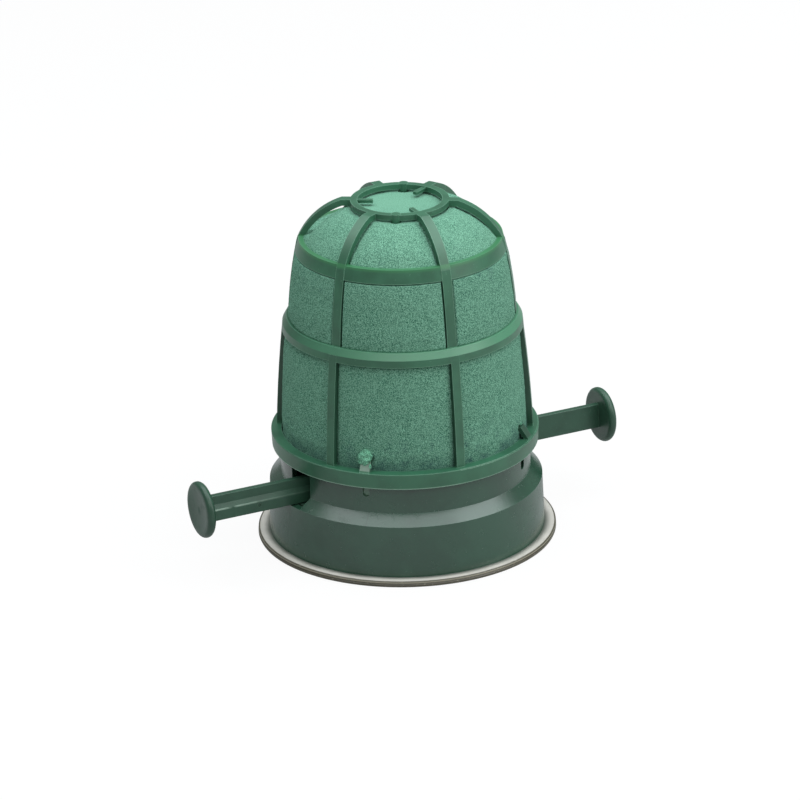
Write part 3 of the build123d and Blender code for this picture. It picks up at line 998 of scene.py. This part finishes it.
    def _under_ring(self, grid: Grid) -> np.ndarray:
        """How far the top ring and the stops below it press the cut top in.

        Args:
            grid: The foam's grid.

        Returns:
            The depth of each point.
        """
        off_ring = grid.radius - self.ring_middle
        ring = (1.0 - smooth(*self.ring_reach, np.abs(off_ring))) * self.ring_gap
        off_stop = np.hypot(grid.radius * grid.apart([self.cage_turn + 90.0]), off_ring)
        stop = (1.0 - smooth(*self.stop_reach, off_stop)) * self.stop_gap
        return np.maximum(ring, stop) * (grid.height > self.crown[1] - 0.6)

    def _grain(self, points: np.ndarray, rows: np.ndarray, sink: np.ndarray) -> np.ndarray:
        """Roughens the surface with lumps, cells and pits.

        Args:
            points: The surface in millimetres.
            rows: The outline, for the way outward.
            sink: How far each point is pressed in; pressed foam is smoother.

        Returns:
            The offset of each point.
        """
        heights = np.empty(len(points))
        for index, point in enumerate(points):
            spot = Vector(point)
            lump = noise.noise(spot / self.lump_mm)
            cell = noise.noise(spot / self.cell_mm)
            pit = max(0.0, noise.noise(spot / self.pit_mm + PIT_SHIFT) - 0.1)
            bumps = self.lump_height * lump + self.cell_height * cell
            heights[index] = bumps - self.pit_sink * pit
        heights *= 1.0 - 0.6 * smooth(0.1, 1.0, sink.reshape(-1))
        on_cut = 1.0 - smooth(*self.cut_radii, np.hypot(points[:, 0], points[:, 1]))
        heights *= 1.0 - 0.7 * on_cut * (points[:, 2] > self.crown[1] - 2.5)
        turns = np.arctan2(points[:, 1], points[:, 0])
        across, up = np.repeat(outward_of(rows), self.segments, axis=0).T
        away = np.stack([across * np.cos(turns), across * np.sin(turns), up], axis=-1)
        return away * heights[:, None]

    def _faces(self, count: int) -> list[list[int]]:
        """Lists the quads between the outline's rows and the fans that close both ends.

        Args:
            count: How many rows the outline has.

        Returns:
            The faces as rows of point numbers; the two centres come after all other points.
        """
        here = np.arange(count * self.segments).reshape(count, self.segments)
        after = np.roll(here, -1, axis=1)
        quads = np.stack([here[:-1], after[:-1], after[1:], here[1:]], axis=-1).reshape(-1, 4)
        centre = np.full(self.segments, here.size)
        top = np.stack([here[-1], after[-1], centre], axis=-1)
        bottom = np.stack([after[0], here[0], centre + 1], axis=-1)
        return quads.tolist() + np.stack([top, bottom], axis=1).reshape(-1, 3).tolist()


@dataclass(frozen=True)
class Crumb:
    """A loose bit of foam: its place and its three half sizes, in millimetres."""

    angle: float
    radius: float
    height: float
    half: Triple


@dataclass
class FoamCrumbs:
    """Bits of foam that the hooks and the stops have torn off and carry."""

    crumbs: tuple[Crumb, ...] = (
        Crumb(-134.1, 49.9, 50.2, (1.9, 2.6, 3.2)),
        Crumb(-135.6, 50.4, 48.8, (1.1, 1.2, 1.2)),
        Crumb(-131.4, 51.3, 47.3, (0.6, 0.5, 1.0)),
        Crumb(-46.6, 48.9, 50.7, (0.5, 0.8, 0.6)),
    )
    lumps: tuple[Pair, Pair] = ((0.30, 1.7), (0.22, 4.5))
    fineness: int = 4

    def build(self) -> bpy.types.Object:
        """Makes all crumbs as one piece.

        Returns:
            The crumbs.
        """
        shape = bmesh.new()
        for crumb in self.crumbs:
            turn = math.radians(crumb.angle)
            along = Matrix.Rotation(turn, 3, "Z")
            place = Vector((crumb.radius * math.cos(turn), crumb.radius * math.sin(turn),
                            crumb.height))
            ball = bmesh.ops.create_icosphere(shape, subdivisions=self.fineness, radius=1.0)
            for vert in ball["verts"]:
                rough = 1.0 + sum(tall * noise.noise(vert.co * fine + place)
                                  for tall, fine in self.lumps)
                local = Vector([share * half for share, half in zip(vert.co, crumb.half)])
                vert.co = (place + along @ (local * rough)) * MM
        mesh = bpy.data.meshes.new("foam_crumbs")
        shape.to_mesh(mesh)
        shape.free()
        mesh.materials.append(FOAM_CRUMB.material())
        crumbs = bpy.data.objects.new("foam_crumbs", mesh)
        bpy.context.scene.collection.objects.link(crumbs)
        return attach(crumbs, Body.HOLDER.value)


# ---- Suction cup ----
@dataclass
class SuctionCup:
    """The soft cup: a flange with a grooved edge, and a domed middle that the stud lifts."""

    radius: float = 60.0
    edge: float = 2.4
    ring_width: float = 8.5
    hollow: float = 3.4
    membrane: float = 2.6
    inside: float = 50.9
    collar: float = 2.2
    collar_height: float = 4.0
    boss_radius: float = 11.0
    boss_top: float = 14.0
    foot_radius: float = 7.8
    foot_low: float = 8.1
    foot_high: float = 11.1
    neck_radius: float = 7.2
    boss_root: float = 0.6
    boss_chamfer: float = 0.4
    dome_start: float = 0.8
    skin: float = 0.9
    skin_steps: int = 26
    dome_steps: int = 22
    segments: int = 256
    rim: tuple[Pair, ...] = (
        (0.5, 0.0), (0.15, 0.12), (0.0, 0.45), (0.0, 0.95), (0.12, 1.15), (0.42, 1.32),
        (0.42, 1.42), (0.15, 1.62), (0.08, 1.8), (0.12, 2.15), (0.4, 2.37), (0.9, 2.4),
        (2.5, 2.36),
    )
    collar_root: tuple[Pair, Pair] = ((0.9, -0.02), (0.0, 0.05))

    def build(self) -> list[bpy.types.Object]:
        """Makes the flange, the underside and the upper side of the domed middle.

        Returns:
            The three pieces.
        """
        flange = lathe("cup_flange", self._flange(), self.segments, CUP_VINYL)
        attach(flange, Body.HOLDER.value)
        under = lathe("cup_underside", self._underside(), self.segments, CUP_VINYL)
        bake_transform(under)
        over = lathe("cup_dome", self._dome(), self.segments, CUP_VINYL)
        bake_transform(over)
        pieces = [flange, under, over]
        for piece in pieces:
            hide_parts("suction_cup")
        return pieces

    def _under_height(self, radius: float) -> float:
        """Height of the hollow underside at a radius."""
        return self.hollow * max(0.0, 1.0 - (radius / (self.radius - self.ring_width)) ** 2)

    def _over_height(self, radius: float) -> float:
        """Height of the dome's upper side at a radius."""
        rise = self.hollow + self.membrane - self.edge
        return self.edge + rise * max(0.0, 1.0 - (radius / self.inside) ** 2)

    def _flange(self) -> list[Pair]:
        """The flange, its grooved edge and the collar that plugs into the skirt.

        Returns:
            The profile; the rim and the collar's root are counted from the cup's own sizes.
        """
        outside, top = self.inside + self.collar, self.edge + self.collar_height
        foot = [(self.inside, self._under_height(self.inside)),
                (self.radius - self.ring_width, 0.0)]
        rim = [(self.radius - inset, height) for inset, height in self.rim]
        root = [(outside + out, self.edge + rise) for out, rise in self.collar_root]
        return foot + rim + root + [(outside, top), (self.inside, top), (self.inside, self.edge)]

    def _underside(self) -> list[Pair]:
        """The lower skin of the domed middle.

        Returns:
            The profile.
        """
        radii = np.linspace(0.0, self.inside, self.skin_steps).tolist()
        lower = [(radius, self._under_height(radius)) for radius in radii]
        return lower + [(radius, height + self.skin) for radius, height in reversed(lower)]

    def _dome(self) -> list[Pair]:
        """The upper skin of the domed middle with the boss that grips the stud's foot.

        Returns:
            The profile.
        """
        radii = np.linspace(0.0, self.inside, self.skin_steps).tolist()
        lower = [(radius, self._over_height(radius) - self.skin) for radius in radii]
        start = self.boss_radius + self.dome_start
        radii = np.linspace(start, self.inside, self.dome_steps).tolist()
        upper = [(radius, self._over_height(radius)) for radius in reversed(radii)]
        boss = [
            (self.boss_radius, self._over_height(self.boss_radius) + self.boss_root),
            (self.boss_radius, self.boss_top - self.boss_chamfer),
            (self.boss_radius - self.boss_chamfer, self.boss_top),
            (self.neck_radius, self.boss_top), (self.neck_radius, self.foot_high),
            (self.foot_radius, self.foot_high), (self.foot_radius, self.foot_low),
            (0.0, self.foot_low),
        ]
        return lower + upper + boss


# ---- Studio ----
@dataclass(frozen=True)
class Panel:
    """A lamp panel: its centre, what it faces, its two sides in metres, and how bright it is."""

    name: str
    centre: Triple
    faces: Triple
    sides: Pair
    radiance: float
    colour: Colour = WHITE


@dataclass
class Studio:
    """A white floor and surround, panels overhead and in front, and the camera."""

    distance: float = 1.8116
    elevation: float = 21.769
    azimuth: float = -25.6
    aim: Triple = (-0.00175, 0.0, 0.05486)
    stand_height: float = 0.070
    roll: float = -1.364
    lens: float = 205.06
    sensor: float = 36.0
    far_end: float = 20.0
    sky: float = 0.25
    floor_half: float = 3.0
    floor_level: float = -0.0001
    floor_glow: float = 0.90
    floor_white: float = 0.80
    floor_mirrored: float = 0.48
    floor_bounce: float = 0.32
    panels: tuple[Panel, ...] = (
        Panel("overhead", (-0.21, 0.08, 1.20), (-0.21, 0.08, 0.0), (1.50, 1.40), 2.5, SKYLIGHT),
        Panel("overhead_right", (0.87, 0.08, 1.20), (0.87, 0.08, 0.0), (0.66, 1.40), 3.5, SKYLIGHT),
        Panel("front_top", (0.12, -1.45, 1.27), (0.0, 0.0, 0.07), (2.00, 0.55), 2.4),
        Panel("right_fill", (1.36, -0.55, 0.72), (0.0, 0.0, 0.07), (1.00, 1.00), 2.4),
    )

    def build(self) -> None:
        """Builds the whole studio."""
        scene = bpy.context.scene
        scene.view_settings.view_transform = "Standard"
        self._world(scene)
        self._floor()
        for panel in self.panels:
            self._lamp(panel)
        scene.camera = self._camera()

    def _world(self, scene: bpy.types.Scene) -> None:
        """White where it is seen, weaker as light and in reflections.

        Args:
            scene: The scene that the world lights.
        """
        world = bpy.data.worlds.new("surround")
        scene.world = world
        world.use_nodes = True
        graph = Graph(world.node_tree)
        seen = graph.node("ShaderNodeLightPath").field("Is Camera Ray")
        strength = seen * (1.0 - self.sky) + self.sky
        inputs = {"Color": (*WHITE, 1.0), "Strength": strength}
        light = graph.node("ShaderNodeBackground", inputs=inputs).field("Background")
        graph.node("ShaderNodeOutputWorld", inputs={"Surface": light})

    def _floor(self) -> None:
        """A white floor that keeps a faint shadow."""
        corners = [(side * self.floor_half, ahead * self.floor_half, self.floor_level)
                   for side, ahead in ((-1, -1), (1, -1), (1, 1), (-1, 1))]
        mesh = bpy.data.meshes.new("floor")
        mesh.from_pydata(corners, [], [(0, 1, 2, 3)])
        floor = bpy.data.objects.new("floor", mesh)
        bpy.context.scene.collection.objects.link(floor)
        material = bpy.data.materials.new("floor_white")
        material.use_nodes = True
        graph = Graph(material.node_tree)
        ray = graph.node("ShaderNodeLightPath")
        seen = ray.field("Is Camera Ray")
        bounce, mirrored = (self.floor_bounce,) * 3, (self.floor_mirrored,) * 3
        colour = graph.mix(ray.field("Is Glossy Ray"), bounce, mirrored)
        colour = graph.mix(seen, colour, (self.floor_white,) * 3)
        matt = {"Base Color": colour, "Roughness": 1.0, "Specular IOR Level": 0.0}
        paint = graph.node("ShaderNodeBsdfPrincipled", inputs=matt).field("BSDF")
        white = {"Color": (*WHITE, 1.0), "Strength": 1.0}
        glow = graph.node("ShaderNodeEmission", inputs=white).field("Emission")
        sides = {0: seen * self.floor_glow, 1: paint, 2: glow}
        mixed = graph.node("ShaderNodeMixShader", inputs=sides).field(0)
        graph.node("ShaderNodeOutputMaterial", inputs={"Surface": mixed})
        mesh.materials.append(material)

    def _lamp(self, panel: Panel) -> None:
        """Hangs one panel, turned with the studio to the camera's side.

        Args:
            panel: The panel.
        """
        lamp = bpy.data.lights.new(panel.name, "AREA")
        lamp.shape = "RECTANGLE"
        lamp.size, lamp.size_y = panel.sides
        lamp.energy = panel.radiance * math.pi * panel.sides[0] * panel.sides[1]
        lamp.color = panel.colour
        holder = bpy.data.objects.new(panel.name, lamp)
        spot = Vector(panel.centre)
        aimed = (Vector(panel.faces) - spot).to_track_quat("-Z", "Y").to_matrix()
        turn = Matrix.Rotation(math.radians(self.azimuth), 3, "Z")
        pose = (turn @ aimed).to_4x4()
        pose.translation = turn @ spot
        holder.matrix_world = pose
        bpy.context.scene.collection.objects.link(holder)

    def _camera(self) -> bpy.types.Object:
        """Sets up the camera.

        Returns:
            The camera.
        """
        tilt = math.radians(self.elevation)
        rise = self.distance * math.sin(tilt)
        eye = Vector((0.0, -self.distance * math.cos(tilt), self.stand_height + rise))
        look = (Vector(self.aim) - eye).normalized()
        right = look.cross(UP).normalized()
        up = right.cross(look)
        lean = math.radians(self.roll)
        rolled_right = right * math.cos(lean) + up * math.sin(lean)
        rolled_up = up * math.cos(lean) - right * math.sin(lean)
        turn = Matrix.Rotation(math.radians(self.azimuth), 3, "Z")
        axes = [turn @ axis for axis in (rolled_right, rolled_up, -look)]
        data = bpy.data.cameras.new("camera")
        data.lens = self.lens
        data.sensor_width = self.sensor
        data.clip_end = self.far_end
        camera = bpy.data.objects.new("camera", data)
        pose = Matrix(axes).transposed().to_4x4()
        pose.translation = turn @ eye
        camera.matrix_world = pose
        bpy.context.scene.collection.objects.link(camera)
        return camera


def main() -> None:
    """Builds the dressed holder piece by piece, then the studio."""
    steps: list[tuple[str, Callable[[], Any]]] = [
        ("hard parts", Mouldings().dress),
        ("foam", FoamBlock().build),
        ("crumbs", FoamCrumbs().build),
        ("suction cup", SuctionCup().build),
        ("studio", Studio().build),
    ]
    for name, build in steps:
        made = build()
        pieces = made if isinstance(made, list) else [made] if made else []
        log.info("%s: %s", name, ", ".join(piece.name for piece in pieces) or "set up")


if __name__ == "__main__":
    logging.basicConfig(level=logging.INFO, format="%(name)s %(message)s")
    main()
